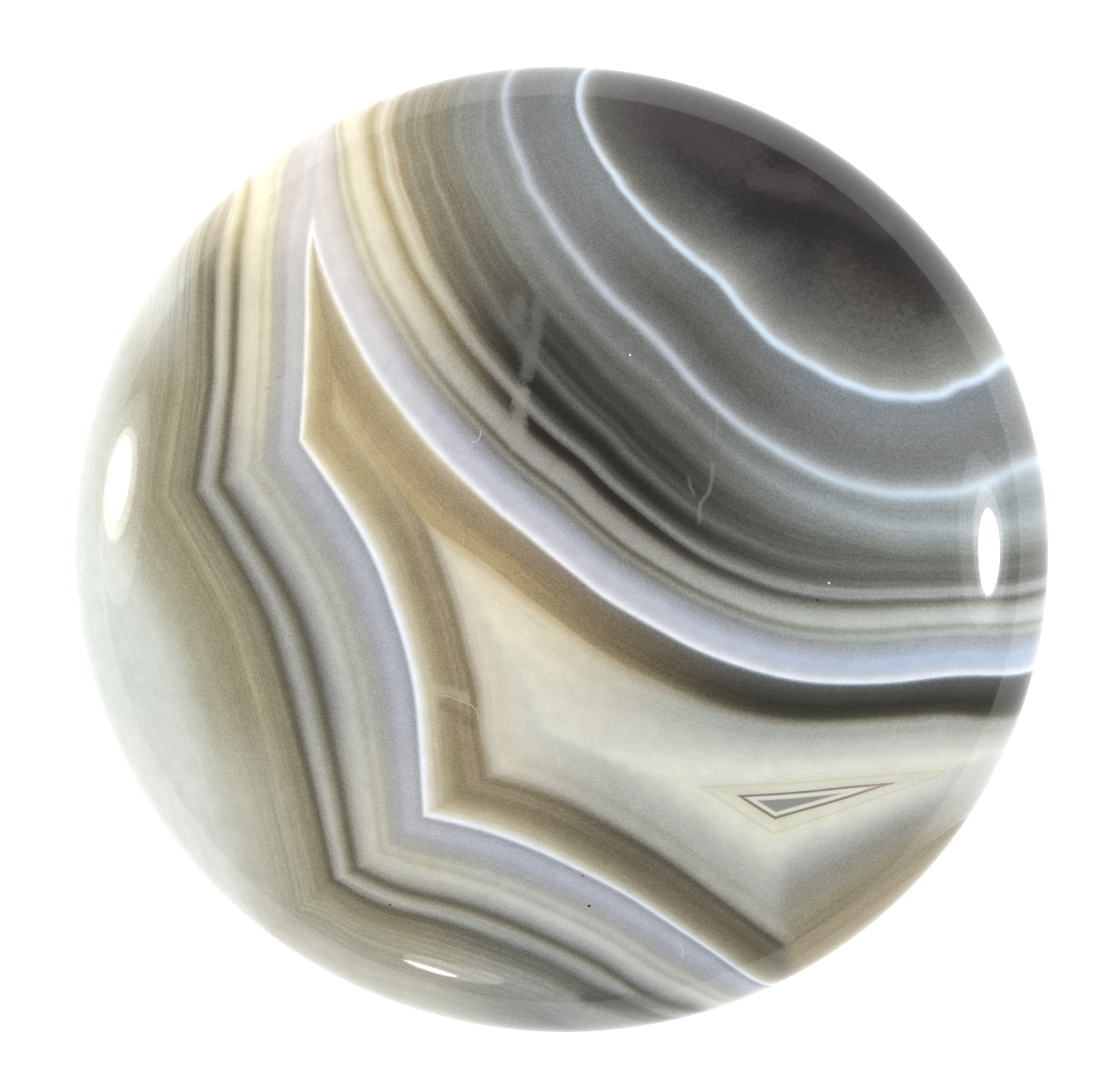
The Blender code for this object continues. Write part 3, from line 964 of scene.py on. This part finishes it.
def agate_material():
    material = bpy.data.materials.new("banded_agate")
    material.use_nodes = True
    nodes = Nodes(material.node_tree)
    shader = material.node_tree.nodes["Principled BSDF"]
    nodes.feed(shader.inputs["Base Color"], banding(nodes))
    shader.inputs["Roughness"].default_value = BODY_ROUGHNESS
    shader.inputs["Specular IOR Level"].default_value = BODY_SPECULAR
    shader.inputs["IOR"].default_value = AGATE_IOR
    shader.inputs["Coat Weight"].default_value = COAT_WEIGHT
    shader.inputs["Coat Roughness"].default_value = COAT_ROUGHNESS
    shader.inputs["Coat IOR"].default_value = AGATE_IOR
    return material


def make_stone():
    mesh, points = stone_mesh()
    dress_mesh(mesh, points)
    stone = bpy.data.objects.new("banded_stone", mesh)
    bpy.context.scene.collection.objects.link(stone)
    mesh.materials.append(agate_material())
    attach(stone, "root")
    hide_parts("stone")


def make_floor():
    bpy.ops.mesh.primitive_circle_add(vertices=96, radius=FLOOR_RADIUS, fill_type="NGON")
    floor = bpy.context.object
    floor.name = "floor"
    material = bpy.data.materials.new("pale_floor")
    material.use_nodes = True
    shader = material.node_tree.nodes["Principled BSDF"]
    shader.inputs["Base Color"].default_value = FLOOR_COLOUR
    shader.inputs["Roughness"].default_value = FLOOR_ROUGHNESS
    shader.inputs["Emission Color"].default_value = (1.0, 1.0, 1.0, 1.0)
    shader.inputs["Emission Strength"].default_value = FLOOR_GLOW
    floor.data.materials.append(material)


def softbox(name, azimuth, elevation, wide, high, radiance):
    """A round-ended soft lamp at that azimuth and elevation from the stone, its angular size in degrees."""
    azimuth, elevation = math.radians(azimuth), math.radians(elevation)
    level = math.cos(elevation)
    way = np.array((level * math.cos(azimuth), level * math.sin(azimuth), math.sin(elevation)))
    lamp = bpy.data.lights.new(name, "AREA")
    lamp.shape = "ELLIPSE"
    lamp.size = 2 * LAMP_DISTANCE * math.tan(math.radians(wide) / 2)
    lamp.size_y = 2 * LAMP_DISTANCE * math.tan(math.radians(high) / 2)
    lamp.energy = radiance * math.pi * lamp.size * lamp.size_y * math.pi / 4
    place = bpy.data.objects.new(name, lamp)
    bpy.context.scene.collection.objects.link(place)
    place.location = way * LAMP_DISTANCE
    place.rotation_euler = (math.pi / 2 - elevation, 0.0, azimuth + math.pi / 2)


def make_world():
    """A dim, even surround."""
    world = bpy.context.scene.world or bpy.data.worlds.new("studio")
    bpy.context.scene.world = world
    world.use_nodes = True
    nodes = Nodes(world.node_tree)
    direction = nodes.add("ShaderNodeTexCoord").outputs["Generated"]
    height = nodes.add("ShaderNodeSeparateXYZ")
    nodes.feed(height.inputs[0], direction)
    background = world.node_tree.nodes["Background"]
    background.inputs["Color"].default_value = (1.0, 1.0, 1.0, 1.0)
    strength = nodes.rise(height.outputs["Z"], 0.0, 0.4, *SURROUND_STRENGTHS)
    nodes.feed(background.inputs["Strength"], strength)


def make_light():
    make_world()
    for name, lamp in LAMPS.items():
        softbox(name, *lamp)
    overhead = bpy.data.lights.new("overhead_fill", "SUN")
    overhead.angle = OVERHEAD_ANGLE
    overhead.energy = OVERHEAD_STRENGTH
    place = bpy.data.objects.new("overhead_fill", overhead)
    bpy.context.scene.collection.objects.link(place)
    place.visible_glossy = False


def make_camera():
    right, up, back = camera_axes()
    lens = bpy.data.cameras.new("camera")
    lens.sensor_fit = "HORIZONTAL"
    lens.sensor_width = SENSOR_WIDTH
    lens.lens = SENSOR_WIDTH * CAMERA_DISTANCE * PIXELS_PER_METRE / PHOTO_WIDTH
    lens.clip_start = 0.01
    lens.clip_end = 100.0
    camera = bpy.data.objects.new("camera", lens)
    bpy.context.scene.collection.objects.link(camera)
    place = Matrix(np.stack((right, up, back, camera_place()), 1).tolist())
    camera.matrix_world = place.to_4x4()
    bpy.context.scene.camera = camera


def main():
    bpy.context.scene.view_settings.view_transform = "Standard"
    make_stone()
    make_floor()
    make_light()
    make_camera()


main()
